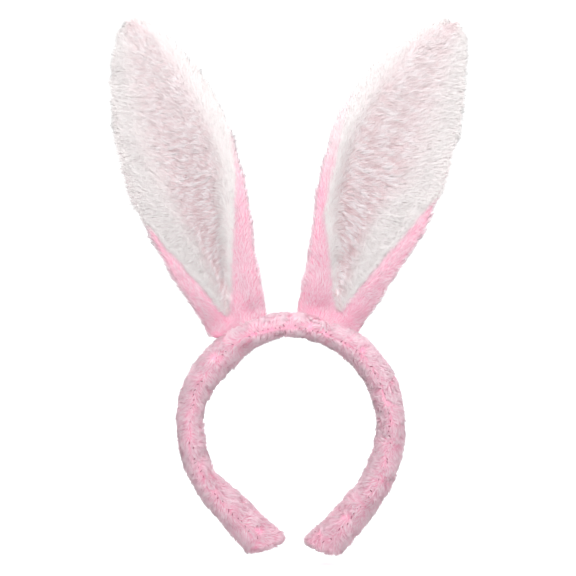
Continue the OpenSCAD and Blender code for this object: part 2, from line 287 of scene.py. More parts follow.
def subdivide(obj):
    """Rounds the skin off by one level of subdivision."""
    obj.modifiers.new("Subdivision", "SUBSURF").levels = 1
    dg = bpy.context.evaluated_depsgraph_get()
    done = bpy.data.meshes.new_from_object(obj.evaluated_get(dg))
    obj.modifiers.clear()
    obj.data = done
    for p in done.polygons:
        p.use_smooth = True


# ------------------------------------------------------------------ materials

class Nodes:
    """A material's node tree, built a line at a time."""

    def __init__(self, name):
        self.material = bpy.data.materials.new(name)
        self.material.use_nodes = True
        self.tree = self.material.node_tree
        self.shader = self.tree.nodes["Principled BSDF"]

    def add(self, kind, **inputs):
        node = self.tree.nodes.new(kind)
        for key, value in inputs.items():
            self.put(node.inputs[key.replace("_", " ")], value)
        return node

    def put(self, socket, value):
        if isinstance(value, bpy.types.NodeSocket):
            self.tree.links.new(value, socket)
        else:
            socket.default_value = value

    def value(self, key):
        node = self.tree.nodes.new("ShaderNodeAttribute")
        node.attribute_name = key
        return node.outputs["Fac"]

    def mix(self, factor, a, b):
        node = self.tree.nodes.new("ShaderNodeMix")
        node.data_type = "RGBA"
        self.put(node.inputs[0], factor)
        self.put(node.inputs[6], a)
        self.put(node.inputs[7], b)
        return node.outputs[2]

    def noise(self, scale, detail=3.0, rough=0.6):
        place = self.tree.nodes.new("ShaderNodeTexCoord").outputs["Object"]
        return self.add("ShaderNodeTexNoise", Vector=place, Scale=scale, Detail=detail, Roughness=rough)

    def span(self, socket, low, high, to_low=0.0, to_high=1.0):
        node = self.add("ShaderNodeMapRange", Value=socket)
        for key, v in (("From Min", low), ("From Max", high), ("To Min", to_low), ("To Max", to_high)):
            node.inputs[key].default_value = v
        return node.outputs["Result"]

    def bump(self, socket, strength, distance):
        node = self.add("ShaderNodeBump", Height=socket, Strength=strength, Distance=distance)
        self.put(self.shader.inputs["Normal"], node.outputs["Normal"])

    def finish(self, color, roughness, sheen=0.0, specular=0.3):
        self.put(self.shader.inputs["Base Color"], color)
        self.put(self.shader.inputs["Roughness"], roughness)
        self.shader.inputs["Sheen Weight"].default_value = sheen
        self.shader.inputs["Sheen Roughness"].default_value = 0.5
        self.shader.inputs["Specular IOR Level"].default_value = specular
        return self.material


# Root and tip colours of the pile: the darker root is painted shade deep in the pile.
PINK_ROOT, PINK_TIP = srgb(250, 187, 209), srgb(255, 232, 240)
# PINK_DEEP: the deep pink of the pile's painted shade, and the dark fleck of the backing's grain.
PINK_DEEP = srgb(243, 148, 180)
WHITE_ROOT, WHITE_TIP = srgb(246, 237, 236), srgb(252, 248, 247)
# TAUPE and BLUSH colour the hollow of the white panel: partly the pile's own tint, partly painted shade of
# the hollow.
TAUPE = srgb(218, 176, 178)
BLUSH = srgb(254, 238, 243)
PINK_LIGHT, WHITE_LIGHT = srgb(255, 232, 238), srgb(255, 252, 252)
THREAD_DARK, THREAD_LIGHT = srgb(146, 56, 84), srgb(190, 100, 128)


def fur_material():
    """Each strand has its own tint (0 pink, 1 white), shade, and pinking in the white panel's hollow, partly
    painted shade; it pales along its length, its darker root being painted shade deep in the pile.
    """
    n = Nodes("plush_pile")
    along, tint, shade = n.value("along"), n.value("tint"), n.value("shade")
    pink = n.mix(along, PINK_ROOT, PINK_TIP)
    white = n.mix(along, WHITE_ROOT, WHITE_TIP)
    # In the hollow the white turns to pink and taupe: partly the pile's own tint, partly painted shade of the
    # hollow.
    white = n.mix(n.value("blush_and_hollow_shade"), white, n.mix(shade, TAUPE, BLUSH))
    color = n.mix(tint, pink, white)
    # Where the shade mark is high the strand mixes towards a paler copy, where low towards a deeper one:
    # random tone, and painted shade where the seams, the foot and the band's tips lower it.
    lit, dim = n.mix(tint, PINK_LIGHT, WHITE_LIGHT), n.mix(tint, PINK_DEEP, BLUSH)
    color = n.mix(n.span(shade, 0.5, 1.0, 0.0, 0.5), color, lit)
    color = n.mix(n.span(shade, 0.5, 0.0, 0.0, 0.35), color, dim)
    return n.finish(color, 0.72, sheen=0.35, specular=0.15)


def skin_material():
    n = Nodes("plush_backing")
    grain = n.noise(900.0, 4.0).outputs["Fac"]
    patch = n.noise(160.0, 2.0).outputs["Fac"]
    pink = n.mix(n.span(grain, 0.3, 0.7), PINK_DEEP, PINK_ROOT)
    white = n.mix(n.span(grain, 0.3, 0.7), BLUSH, WHITE_ROOT)
    color = n.mix(n.value("tint"), pink, white)
    color = n.mix(n.span(patch, 0.4, 0.75, 0.0, 0.3), color, srgb(250, 232, 238))
    n.bump(grain, 0.6, 0.0008)
    return n.finish(color, n.span(grain, 0.3, 0.7, 0.75, 0.95), sheen=0.3, specular=0.15)


def thread_material():
    n = Nodes("pink_thread")
    twist = n.add("ShaderNodeTexWave", Scale=1900.0, Distortion=1.5)
    n.put(twist.inputs["Vector"], n.tree.nodes.new("ShaderNodeTexCoord").outputs["Object"])
    color = n.mix(twist.outputs["Fac"], THREAD_DARK, THREAD_LIGHT)
    n.bump(twist.outputs["Fac"], 0.5, 0.0002)
    return n.finish(color, n.span(twist.outputs["Fac"], 0, 1, 0.55, 0.8), sheen=0.2)


def plastic_material():
    n = Nodes("moulded_core")
    grain = n.noise(420.0, 4.0).outputs["Fac"]
    n.bump(grain, 0.25, 0.0002)
    return n.finish(n.mix(grain, srgb(222, 220, 214), srgb(240, 238, 233)), n.span(grain, 0, 1, 0.35, 0.55))


def wire_material():
    n = Nodes("drawn_wire")
    grain = n.noise(1500.0, 3.0).outputs["Fac"]
    n.shader.inputs["Metallic"].default_value = 1.0
    n.bump(grain, 0.2, 0.0001)
    return n.finish(n.mix(grain, srgb(150, 152, 156), srgb(196, 197, 200)), n.span(grain, 0, 1, 0.25, 0.45))


# ------------------------------------------------------------------ band

def lumps(p, kinds, side):
    """Uneven heights in mm at the points p."""
    (high, size, seed), (high_2, size_2, seed_2) = kinds
    return high * ripples(p, size, seed + side) + high_2 * ripples(p, size_2, seed_2 + side)


def band_line(s):
    """Middle line at s mm from the crown, on the right: (points, outward directions, onward directions)."""
    at = np.radians(np.minimum(s / MID_R * 180 / np.pi, ARC_END))
    past = np.maximum(s - ARC_LEN, 0)
    out = np.stack([np.sin(at), np.zeros_like(at), np.cos(at)], -1)
    on = np.stack([np.cos(at), np.zeros_like(at), -np.sin(at)], -1)
    return MID_R * out + past[..., None] * on, out, on


def band_skin(side):
    """One half of the band: a closed skin from the crown to the tip."""
    end = BAND_LEN[side]
    s = np.linspace(-CROWN_LAP, end, int(end / RING_STEP) + 1)
    cap_s = end - CAP * np.cos(np.linspace(0, np.pi / 2, CAP_RINGS))[:-1]
    s = np.unique(np.concatenate([s[s < end - CAP], cap_s]))
    phi = 2 * np.pi * np.arange(RING_POINTS) / RING_POINTS
    S, P = np.meshgrid(s, phi, indexing="ij")
    degrees = S / MID_R * 180 / np.pi
    widen = smooth(ARC_LEN * WIDENS_FROM, end, S)
    at, outside, inside = zip(*BAND_DEPTH[side])
    outer, inner = np.interp(degrees, at, outside), np.interp(degrees, at, inside)
    half_w = BAND_HALF_W + (TIP_HALF_W - BAND_HALF_W) * widen
    c, r = np.cos(P), np.sin(P)
    y = -half_w * np.sign(c) * np.abs(c) ** np.where(c > 0, FRONT_ROUND_W, BACK_ROUND)
    off = np.where(r > 0, outer, inner) * np.sign(r)
    off *= np.abs(r) ** np.where(c > 0, FRONT_ROUND_OUT, BACK_ROUND)
    from_seam = np.minimum(P, 2 * np.pi - P)
    y += SEAM_GROOVE * np.exp(-(from_seam / GROOVE_SPREAD) ** 2)
    blunt = np.sqrt(np.clip(1 - np.clip((S - end + CAP) / CAP, 0, 1) ** 4, 0.02, 1))
    point, out, on = band_line(S)
    point = point + out * (ARM_OPEN[side] * smooth(MID_R * math.radians(OPEN_FROM), end, S))[..., None]
    rings = point + out * (off * blunt)[..., None]
    rings -= on * (TIP_SLANT * off * blunt * smooth(end - SLANT_LEN, end, S))[..., None]
    rings[..., 1] = y * blunt
    lump = lumps(rings.reshape(-1, 3), BAND_LUMPS, side).reshape(S.shape)
    # the two halves of the band meet at the crown, so the lumps fade out there
    rings += unit(rings - point) * (lump * smooth(0, 12, np.abs(S)))[..., None]
    rings[..., 0] *= side
    return skin_object(NAME[side] + "_band_plush", rings, {"s": S, "phi": P, "tint": np.zeros_like(S)})


def sew_band(obj, side):
    """How firmly each point of the band's skin is held: along the seam, at the crown and at the tip."""
    mesh = obj.data
    s, phi = mark(mesh, "s"), mark(mesh, "phi")
    front = np.minimum(phi, 2 * np.pi - phi)
    firm = 0.5 + 0.5 * np.cos(2 * np.pi * s / SEWN_PITCH)
    return np.clip(np.where(front < 0.1, 0.6 + 0.4 * firm, 0) + (s < 2) + (s > BAND_LEN[side] - 2.5), 0, 1)


# ------------------------------------------------------------------ ears

def ear_frame(side):
    """(hinge, outward, up) of an ear, in mm in the shared frame."""
    j = joints[NAME[side] + "_ear_tilt"]
    axis = np.array(j["axis"], float)
    out = axis * side
    up = np.array([-out[2], 0, out[0]]) * side
    return np.array(j["pos_m"], float) / MM, out, up


def share_up(z):
    return np.clip(z / EAR_LEN, 0, 1)


def ear_mid(u, z):
    """The ear's middle surface: cupped across, and bowed back towards the tip."""
    g = share_up(z)
    cup = EAR_CUP * np.sin(np.pi * g ** 0.8) * (1 - 0.35 * g)
    return EAR_BOW * g * g - cup * u * u


def white_edges(side, z):
    """x of the white panel's edges at height z: (towards the crown, away from it)."""
    a, b = WHITE_START[side]
    m, n = WHITE_SLOPE[side]
    return a - m * np.maximum(z, 0), b + n * np.maximum(z, 0)


def ear_stations():
    """The even outline, from the foot up: (half width, height)."""
    widest = EAR_LEN * EAR_WIDEST
    low = bezier([(EAR_ROOT_HALF_W, 0), (EAR_ROOT_HALF_W + 5, EAR_LEN * 0.14),
                  (EAR_HALF_W, EAR_LEN * 0.3), (EAR_HALF_W, widest)], np.linspace(0, 1, EAR_ROWS // 2))
    high = bezier([(EAR_HALF_W, widest), (EAR_HALF_W, EAR_LEN * 0.76),
                   (EAR_HALF_W * 0.52, EAR_LEN), (0, EAR_LEN)],
                  np.sin(np.linspace(0, np.pi / 2, EAR_ROWS // 2 + 1))[1:] * 0.985)
    foot = np.array([(EAR_ROOT_HALF_W - 1.5, EAR_FOOT), (EAR_ROOT_HALF_W - 0.6, EAR_FOOT / 2)])
    return np.concatenate([foot, low, high])


def ear_skin(side):
    """One ear: a closed skin round its front and back faces."""
    stations = ear_stations()
    k = EAR_FACE_POINTS
    across = np.concatenate([-np.cos(np.pi * np.arange(k) / k), np.cos(np.pi * np.arange(k) / k)])
    face = np.concatenate([np.ones(k), -np.ones(k)])  # 1 on the front, -1 on the back
    U = np.tile(across, (len(stations), 1))
    F = np.tile(face, (len(stations), 1))
    even, Z = np.tile(stations[:, :1], (1, 2 * k)), np.tile(stations[:, 1:], (1, 2 * k))
    flare = np.where(U < 0, *FOOT_FLARE[side]) * (1 - smooth(-4, FLARE_TOP, Z))
    g = share_up(Z)
    at, narrow, drawn = zip(*EAR_SHAPE[side])
    half_w, drawn = even * np.interp(g, at, narrow), np.interp(g, at, drawn)
    X = U * (half_w + flare) + drawn
    edge = np.sqrt(np.clip(1 - np.abs(U) ** 3, 0, 1))
    half_t = EAR_HALF_T * (1 - 0.3 * g ** 3) * np.sqrt(np.clip(1 - np.abs(U) ** 4, 0, 1))
    inner, outer = white_edges(side, Z)
    hollow = ear_hollow(side, X - drawn, Z, half_w)
    fade = 1 - smooth(0.3, 0.85, g)
    valley = hollow * (0.7 + VALLEY_DEEP[side] * fade * smooth(0.02, 0.14, g))
    rim = smooth(-1.0, 2.5, np.maximum(inner - X, X - outer)) * RIM_RISE * smooth(0, 0.05, g)
    front = -half_t + valley * edge - rim * (1 - np.abs(U) ** 6)
    bowl_u = (X - U * flare) / np.maximum(even * BOWL_HALF_W / EAR_HALF_W, 1)
    Y = ear_mid(np.clip(bowl_u, -1, 1), Z)
    Y += np.where(F > 0, front, half_t)
    local = np.stack([X, Y, Z], -1).reshape(-1, 3)
    lump = lumps(local, EAR_LUMPS, side)
    at_edge = np.abs(U).reshape(-1) ** 8
    local[:, 1] += lump * (1 - at_edge)
    local[:, 0] += lump * at_edge * np.sign(U).reshape(-1) * 1.3
    hinge, out, up = ear_frame(side)
    world = hinge + local[:, :1] * out + local[:, 2:] * up
    world[:, 1] = hinge[1] + local[:, 1]
    marks = {"x": X, "z": Z, "u": U, "face": F}
    marks |= {"tint": ear_tint(side, X, Z, U, F), "hollow": hollow * (F > 0)}
    return skin_object(NAME[side] + "_ear_plush", world.reshape(X.shape + (3,)), marks)


def ear_hollow(side, x, z, half_w):
    """1 in the hollow of the white panel, falling to 0 on the strips beside it."""
    inner, outer = white_edges(side, z)
    inner, outer = np.maximum(inner, -half_w), np.minimum(outer, half_w)
    v = (x - inner) / np.maximum(outer - inner, 2.0)
    up = smooth(0.2, 0.6, share_up(z))
    start, end = (low + (high - low) * up for low, high in zip(OUTER_STRIP_LOW, OUTER_STRIP_HIGH))
    return smooth(*INNER_STRIP, v) * (1 - smooth(start, end, v))


def ear_tint(side, x, z, u, face):
    """1 where the pile is white, 0 where it is pink."""
    inner, outer = white_edges(side, z)
    half_w = np.interp(z, ear_stations()[:, 1], ear_stations()[:, 0])
    inner = np.maximum(inner, -half_w + INNER_RIM * (1 - smooth(*INNER_RIM_FADE, z)) - 1.2)
    within = smooth(-1.2, 1.2, np.minimum(x - inner, outer - x)) * smooth(1, 6, z)
    within = np.maximum(within, RIM_PALES_TO * smooth(*RIM_PALES, z) * (u < 0))
    over_edge = np.maximum(smooth(0.86, 0.95, np.abs(u)) * smooth(*OVER_EDGE, z), smooth(*OVER_TIP, z))
    return np.where(face > 0, within, over_edge)


def sew_ear(obj, side):
    """How firmly each point of an ear's skin is held: at its edge, foot and tip, and along the seams."""
    mesh = obj.data
    x, z, u, face = (mark(mesh, k) for k in ("x", "z", "u", "face"))
    inner, outer = white_edges(side, z)
    seam = (face > 0) & (np.minimum(abs(x - inner), abs(x - outer)) < 1.6) & (z > 4)
    return np.clip((np.abs(u) > 0.985) * 1.0 + (z < 6) + seam * 0.8 + (z > EAR_LEN - 2), 0, 1)


# ------------------------------------------------------------------ pile

def roots(skin, keys, per_mm2, rng):
    """Random points all over a skin: {"p", "n", and each mark in keys}."""
    mesh = skin.data
    mesh.calc_loop_triangles()
    tri = np.empty(len(mesh.loop_triangles) * 3, np.int32)
    mesh.loop_triangles.foreach_get("vertices", tri)
    tri = tri.reshape(-1, 3)
    co = coords(mesh) / MM
    nor = np.empty(len(mesh.vertices) * 3, np.float32)
    mesh.vertices.foreach_get("normal", nor)
    nor = nor.reshape(-1, 3).astype(float)
    marks = {k: mark(mesh, k) for k in keys}
    a, b, c = co[tri[:, 0]], co[tri[:, 1]], co[tri[:, 2]]
    area = np.linalg.norm(np.cross(b - a, c - a), axis=1) / 2
    mean = {k: v[tri].mean(1) for k, v in marks.items()}
    want = area * per_mm2(mean)
    count = np.floor(want + rng.random(len(want))).astype(int)
    which = np.repeat(np.arange(len(tri)), count)
    r1, r2 = np.sqrt(rng.random(len(which))), rng.random(len(which))
    w = np.stack([1 - r1, r1 * (1 - r2), r1 * r2], 1)

    def at_roots(v):
        return (v[tri[which]] * (w[..., None] if v.ndim == 2 else w)).sum(1)

    found = {k: at_roots(v) for k, v in marks.items()}
    found["p"], found["n"] = at_roots(co), unit(at_roots(nor))
    return found


def strands(found, flow, length, lift, clump, width, rng):
    """Bends each strand over along flow, and draws neighbours' tips together: (root, mid, tip, width)."""
    p, n = found["p"], found["n"]
    t = unit(flow - (flow * n).sum(1, keepdims=True) * n)
    shake = rng.normal(size=p.shape) * 0.16
    mid = p + (length * 0.5)[:, None] * unit(n * (lift[:, None] + 0.35) + t * 0.75 + shake)
    tip = mid + (length * 0.5)[:, None] * unit(n * lift[:, None] + t + shake * 1.6)
    centres = rng.choice(len(p), max(1, len(p) // CLUMP_OF), replace=False)
    tree = KDTree(len(centres))
    for i, c in enumerate(centres):
        tree.insert(p[c], i)
    tree.balance()
    near = centres[[tree.find(q)[1] for q in p]]
    goal = tip[near] + (p - p[near]) * 0.35
    tip += clump[:, None] * (goal - tip)
    mid += clump[:, None] * 0.35 * (mid[near] + (p - p[near]) * 0.6 - mid)
    return p - n * ROOT_SUNK, mid, tip, width


SIDES = 3
# One strand: 3 points at the root, 3 half way, 1 at the tip.
STRAND_FACES = np.array(
    [(0, 2, 1)]
    + [f for i in range(SIDES) for f in ((i, (i + 1) % 3, 3 + (i + 1) % 3), (i, 3 + (i + 1) % 3, 3 + i))]
    + [(3 + i, 3 + (i + 1) % 3, 6) for i in range(SIDES)]
)
# Where the corners of one strand's faces lie in its own cell of the picture plane
UV_SIDE = ((0.1, 0.1), (0.9, 0.1), (0.9, 0.5), (0.1, 0.1), (0.9, 0.5), (0.1, 0.5))
UV_TOP = ((0.1, 0.5), (0.9, 0.5), (0.5, 0.98))
STRAND_UV = np.array(((0.1, 0.1), (0.5, 0.02), (0.9, 0.1)) + UV_SIDE * SIDES + UV_TOP * SIDES)


def fur_object(name, base, mid, tip, width, normal, tint, shade, blush_and_hollow_shade):
    """One piece of pile. A shorter normal gives the strand's own roundness a larger say in its shading."""
    n = len(base)
    way = unit(tip - base)
    a = unit(np.cross(way, np.array([0.31, 0.87, 0.38])))
    b = np.cross(way, a)
    turn = 2 * np.pi * np.arange(SIDES) / SIDES
    ring = np.cos(turn)[None, :, None] * a[:, None] + np.sin(turn)[None, :, None] * b[:, None]
    ring = ring * width[:, None, None] / 2
    points = np.concatenate([base[:, None] + ring, mid[:, None] + ring * 0.8, tip[:, None]], 1)
    faces = (STRAND_FACES[None] + (np.arange(n) * 7)[:, None, None]).reshape(-1, 3)
    mesh = bpy.data.meshes.new(name)
    mesh.vertices.add(n * 7)
    mesh.vertices.foreach_set("co", (points * MM).astype(np.float32).reshape(-1))
    mesh.loops.add(faces.size)
    mesh.loops.foreach_set("vertex_index", faces.astype(np.int32).reshape(-1))
    mesh.polygons.add(len(faces))
    mesh.polygons.foreach_set("loop_start", np.arange(0, faces.size, 3, dtype=np.int32))
    mesh.polygons.foreach_set("use_smooth", np.ones(len(faces), bool))
    cells = math.ceil(math.sqrt(n))
    corner = np.stack([np.arange(n) % cells, np.arange(n) // cells], 1)
    uv = (corner[:, None] + STRAND_UV[None]) / cells
    mesh.uv_layers.new(name="OFBake").data.foreach_set("uv", uv.astype(np.float32).reshape(-1))
    along = np.tile([0.0] * 3 + [0.62] * 3 + [1.0], n)
    for key, v in (("along", along), ("tint", np.repeat(tint, 7)), ("shade", np.repeat(shade, 7)),
                   ("blush_and_hollow_shade", np.repeat(blush_and_hollow_shade, 7))):
        mesh.attributes.new(key, "FLOAT", "POINT").data.foreach_set("value", v.astype(np.float32))
    mesh.update()
    mesh.validate()
    soft = np.concatenate([ring / width[:, None, None] * 2] * 2 + [way[:, None]], 1)
    soft = unit(soft * (1 - SKIN_SHARE) + normal[:, None] * SKIN_SHARE)
    mesh.normals_split_custom_set_from_vertices(soft.reshape(-1, 3).tolist())
    obj = bpy.data.objects.new(name, mesh)
    bpy.context.scene.collection.objects.link(obj)
    obj.data.materials.append(PILE)
    return obj


def coat(name, made, normal, tint, shade, blush_and_hollow_shade, order):
    """The strands as pieces of at most PIECE_STRANDS, split along order."""
    pieces = max(1, math.ceil(len(order) / PIECE_STRANDS))
    where = np.argsort(order, kind="stable")
    return [
        fur_object(f"{name}_{i + 1}", *(v[w] for v in (*made, normal, tint, shade, blush_and_hollow_shade)))
        for i, w in enumerate(np.array_split(where, pieces))
    ]


def band_pile(skin, side):
    """The pink pile of one half of the band, combed towards the tip and away from the seam, in tufts."""
    rng = np.random.default_rng(100 + side)
    f = roots(skin, ("s", "phi"), lambda m: np.full(len(m["s"]), BAND_PER_MM2), rng)
    own_half = f["p"][:, 0] * side > 0
    f = {k: v[own_half] for k, v in f.items()}
    _, out, on = band_line(f["s"])
    out, on = out * [side, 1, 1], on * [side, 1, 1]
    # phi wraps, so how far a root is round the band comes from its normal
    round_out = (f["n"] * out).sum(1)
    front = -f["n"][:, 1]
    away = out * np.sign(round_out)[:, None] * smooth(0.1, 0.9, np.abs(front))[:, None]
    stray = np.stack([ripples(f["p"], 13, 51 + i) for i in range(3)], 1)
    lower = 1 - smooth(-0.5, 0.1, round_out)
    along = 0.8 * smooth(0, 40, f["s"]) * (1 - 0.5 * lower)
    flow = on * along[:, None] + away * 0.5 + stray * 0.7
    length = BAND_PILE * rng.uniform(*STRAND_LENGTHS, len(flow)) * (1 + 0.10 * ripples(f["p"], 9, 61))
    seam = smooth(0.99, 0.93, front)
    length *= 0.8 + 0.2 * seam
    lift = 0.30 + 0.14 * rng.random(len(flow)) + 0.12 * lower
    clump = np.clip(0.42 + 0.28 * ripples(f["p"], 10, 71) + 0.1 * lower, 0, 0.85)
    made = strands(f, flow, length, lift, clump, rng.uniform(*BAND_STRAND_W, len(flow)), rng)
    tufts = 0.12 * ripples(f["p"], 8, 81) + 0.2 * ripples(f["p"], 4, 91, 16)
    # painted shade: deeper pink towards the tip, the lowest end of each arm
    end = BAND_LEN[side]
    low_end_shade = 0.16 * smooth(end - 60, end, f["s"])
    shade = np.clip(0.5 - low_end_shade + 0.22 * rng.normal(size=len(flow)) + tufts, 0, 1)
    none = np.zeros(len(flow))
    outline = np.maximum(smooth(0.65, 0.92, np.abs(round_out)), smooth(end - 9, end - 4, f["s"]))
    hold = 1 - (1 - OUTLINE_SHARE) * outline
    return coat(NAME[side] + "_band_pile", made, f["n"] * hold[:, None], none, shade, none, f["s"])


def ear_combing(side, f, tint, to_inner, to_outer):
    """Which way the pile lies: outwards and down at the foot of the white panel, upwards near the tip."""
    z, u = f["z"], f["u"]
    front = f["face"] > 0
    g = share_up(z)
    rim = smooth(0.45, 0.8, np.abs(u))
    side_way = np.where(u > 0, 1.0, 0.9 - 1.3 * rim)
    rise = -0.5 + 1.15 * smooth(0.12, 0.6, g) + 0.6 * smooth(0.85, 1.0, g)
    rise = np.where(u > 0, rise + (0.35 - rise) * rim * 0.8, rise + (1.0 - rise) * rim)
    # the pink pile stands up the ear and spreads towards its edges
    rise = np.where(tint > 0.5, rise, 0.9)
    side_way = np.where(tint > 0.5, side_way, np.sign(u) * 0.55 * smooth(0.2, 0.9, np.abs(u)))
    stray = np.stack([ripples(f["p"], 15, 151 + i) for i in range(3)], 1)
    calm = np.where(front, 0.26, 0.5)
    # beside the seams the pile lies along them
    slope_in, slope_out = WHITE_SLOPE[side]
    for apart, slope in ((to_inner, -slope_in), (to_outer, slope_out)):
        beside = front * (1 - smooth(2.0, 6.0, apart)) * smooth(8, 20, z) * (np.abs(u) < 0.93)
        side_way, rise = side_way + (slope - side_way) * beside, rise + (1.0 - rise) * beside
    _, out, up = ear_frame(side)
    return side_way[:, None] * out + rise[:, None] * up + stray * calm[:, None]


def ear_streaks(side, x, z):
    """Fine streaks, about -1 to 1, that lie along the combing of the white panel."""
    lean = STREAK_LEAN * (1 - smooth(0.15, 0.6, share_up(z)))
    along, across = x * np.cos(lean) - z * np.sin(lean), x * np.sin(lean) + z * np.cos(lean)
    return ripples(np.stack([along * 0.28, across, 0 * x], 1), STREAK_SIZE, 191 + side, 18)


def ear_pile(skin, side):
    """The pile of one ear, in front pieces and back pieces."""
    rng = np.random.default_rng(200 + side)

    def per_mm2(m):
        thick = np.where((m["tint"] > 0.4) & (m["face"] >= 0), WHITE_PER_MM2, PINK_PER_MM2)
        return thick * (m["z"] > EAR_FOOT + 1.5)

    f = roots(skin, ("x", "z", "u", "face", "tint", "hollow"), per_mm2, rng)
    x, z, u, hollow = (f[k] for k in ("x", "z", "u", "hollow"))
    front = f["face"] > 0
    tint = ear_tint(side, x + rng.normal(size=len(x)) * 0.4, z, u, f["face"])
    inner, outer = white_edges(side, z)
    to_inner, to_outer = np.abs(x - inner), np.abs(x - outer)
    to_seam = np.minimum(to_inner, to_outer)
    g = share_up(z)

    length = np.where(tint > 0.5, WHITE_PILE, PINK_PILE) * rng.uniform(*STRAND_LENGTHS, len(x))
    length *= 0.72 + 0.28 * np.where(front, smooth(0.5, 5.0, to_seam), 1)
    length *= 1 + 0.10 * ripples(f["p"], 9, 161)
    length *= 0.7 + 0.3 * smooth(0, 12, z)
    lift = 0.26 + 0.14 * rng.random(len(x)) + np.where(front, 0.0, 0.06)
    clump = np.clip(0.22 + 0.16 * ripples(f["p"], 11, 171) + 0.12 * hollow, 0, 0.7)
    flow = ear_combing(side, f, tint, to_inner, to_outer)
    made = strands(f, flow, length, lift, clump, rng.uniform(*EAR_STRAND_W, len(x)), rng)

    streak = ear_streaks(side, x, z)
    strong = 0.24 + 0.3 * (1 - smooth(0.35, 0.75, g))
    shade = 0.5 + 0.2 * rng.normal(size=len(x)) + 0.08 * ripples(f["p"], 7, 181)
    shade += (0.12 + strong * streak) * hollow
    # painted shade: darker in the seams' grooves and, in places, in the crevices at the foot
    shade -= 0.3 * front * (1 - smooth(0.4, 1.6, to_seam)) * (z > 12)
    shade = np.clip(shade - 0.35 * (1 - smooth(1, 15, z)) * (1 + ripples(f["p"], 12, 201)), 0, 1)
    # the hollow's pink: partly the pile's own tint, partly painted shade of the hollow, paler higher up
    blush_and_hollow_shade = hollow * (1 - 0.4 * smooth(0.3, 0.85, g)) * 0.95
    # the dark streaks lie a little lower than the light ones
    length_dip = 1 - 0.25 * np.clip(-streak, 0, 1) * hollow
    root, mid, tip, width = made
    made = (root, root + (mid - root) * length_dip[:, None], root + (tip - root) * length_dip[:, None], width)

    outline = np.maximum(smooth(0.8, 0.95, np.abs(u)), smooth(*OVER_TIP, z))
    normal = f["n"] * (1 - (1 - OUTLINE_SHARE) * outline)[:, None]
    pieces = []
    for part, chosen in (("front_pile", front), ("back_pile", ~front)):
        made_part = tuple(v[chosen] for v in made)
        marks = (v[chosen] for v in (normal, tint, shade, blush_and_hollow_shade, z))
        pieces += coat(f"{NAME[side]}_ear_{part}", made_part, *marks)
    return pieces


# ------------------------------------------------------------------ stitches

def stitches(name, middles, ways, lifts, lengths):
    """Short arched threads, each a closed tube: middle, direction along, direction up, length, in mm."""
    points, faces = [], []
    for middle, way, lift, length in zip(middles, ways, lifts, lengths):
        cross = unit(np.cross(way, lift))
        first = len(points)
        for i in range(STITCH_RINGS):
            t = i / (STITCH_RINGS - 1) * 2 - 1
            centre = middle + way * t * length / 2 - lift * STITCH_ARCH * t * t
            r = STITCH_R * (0.45 if abs(t) == 1 else 1.0)
            for j in range(STITCH_POINTS):
                a = 2 * math.pi * j / STITCH_POINTS
                points.append(centre + r * (math.cos(a) * cross + math.sin(a) * lift))
        for i in range(STITCH_RINGS - 1):
            for j in range(STITCH_POINTS):
                k = (j + 1) % STITCH_POINTS
                a, b = first + i * STITCH_POINTS, first + (i + 1) * STITCH_POINTS
                faces.append((a + j, a + k, b + k, b + j))
        faces.append(tuple(first + j for j in reversed(range(STITCH_POINTS))))
        faces.append(tuple(first + (STITCH_RINGS - 1) * STITCH_POINTS + j for j in range(STITCH_POINTS)))
    mesh = bpy.data.meshes.new(name)
    mesh.from_pydata((np.array(points) * MM).tolist(), [], faces)
    mesh.polygons.foreach_set("use_smooth", np.ones(len(faces), bool))
    mesh.materials.append(THREAD)
    obj = bpy.data.objects.new(name, mesh)
    bpy.context.scene.collection.objects.link(obj)
    return obj


def seam_stitches(skin, side):
    """The closing seam: whip stitches of uneven length and depth along the front of the band."""
    rng = np.random.default_rng(300 + side)
    co, s, phi = coords(skin.data) / MM, mark(skin.data, "s"), mark(skin.data, "phi")
    on_seam = (phi < 1e-3) & (s > 0.5) & (s < BAND_LEN[side] - 9)
    order = np.argsort(s[on_seam])
    line_s, line = s[on_seam][order], co[on_seam][order]
    at = np.arange(STITCH_PITCH, line_s[-1], STITCH_PITCH)
    at = at + rng.uniform(-1.1, 1.1, len(at))
    middle = np.stack([np.interp(at, line_s, line[:, i]) for i in range(3)], 1)
    _, out, on = band_line(at)
    out, on = out * [side, 1, 1], on * [side, 1, 1]
    lift = np.tile([0.0, -1.0, 0.0], (len(at), 1))
    slant = rng.uniform(0.2, 1.3, len(at))[:, None]
    way = unit(on * np.cos(slant) + out * np.sin(slant))
    # some threads show above the pile and some are lost in it
    uneven = 0.5 * ripples(middle, 30, 320 + side) * np.where(at < 70, 1, 0.4)
    show = rng.uniform(-0.3, 2.1, len(at)) + uneven
    middle += lift * show[:, None] + out * rng.uniform(-1.2, 1.2, len(at))[:, None]
    return stitches(NAME[side] + "_seam_stitches", middle, way, lift, rng.uniform(1.2, 2.4, len(at)))


def tip_stitches(side):
    """Threads round the tip, drawn down into the pile."""
    angle = 2 * np.pi * (np.arange(TIP_STITCHES) + 0.5) / TIP_STITCHES
    point, out, on = band_line(np.full(TIP_STITCHES, BAND_LEN[side] - TIP_STITCH_BACK))
    point = point + out * ARM_OPEN[side]
    across = np.array([0, 1.0, 0]) * (np.sin(angle) * TIP_HALF_W)[:, None]
    round_way = out * np.cos(angle)[:, None] * TIP_OUT + across
    lift = unit(round_way)
    mirror = [side, 1, 1]
    middle = (point + round_way * 0.97) * mirror
    lengths = np.full(TIP_STITCHES, TIP_STITCH_LEN)
    return stitches(NAME[side] + "_tip_stitches", middle, on * mirror, lift * mirror, lengths)


# ------------------------------------------------------------------ build

PILE = fur_material()
BACKING = skin_material()
THREAD, CORE, WIRE = thread_material(), plastic_material(), wire_material()


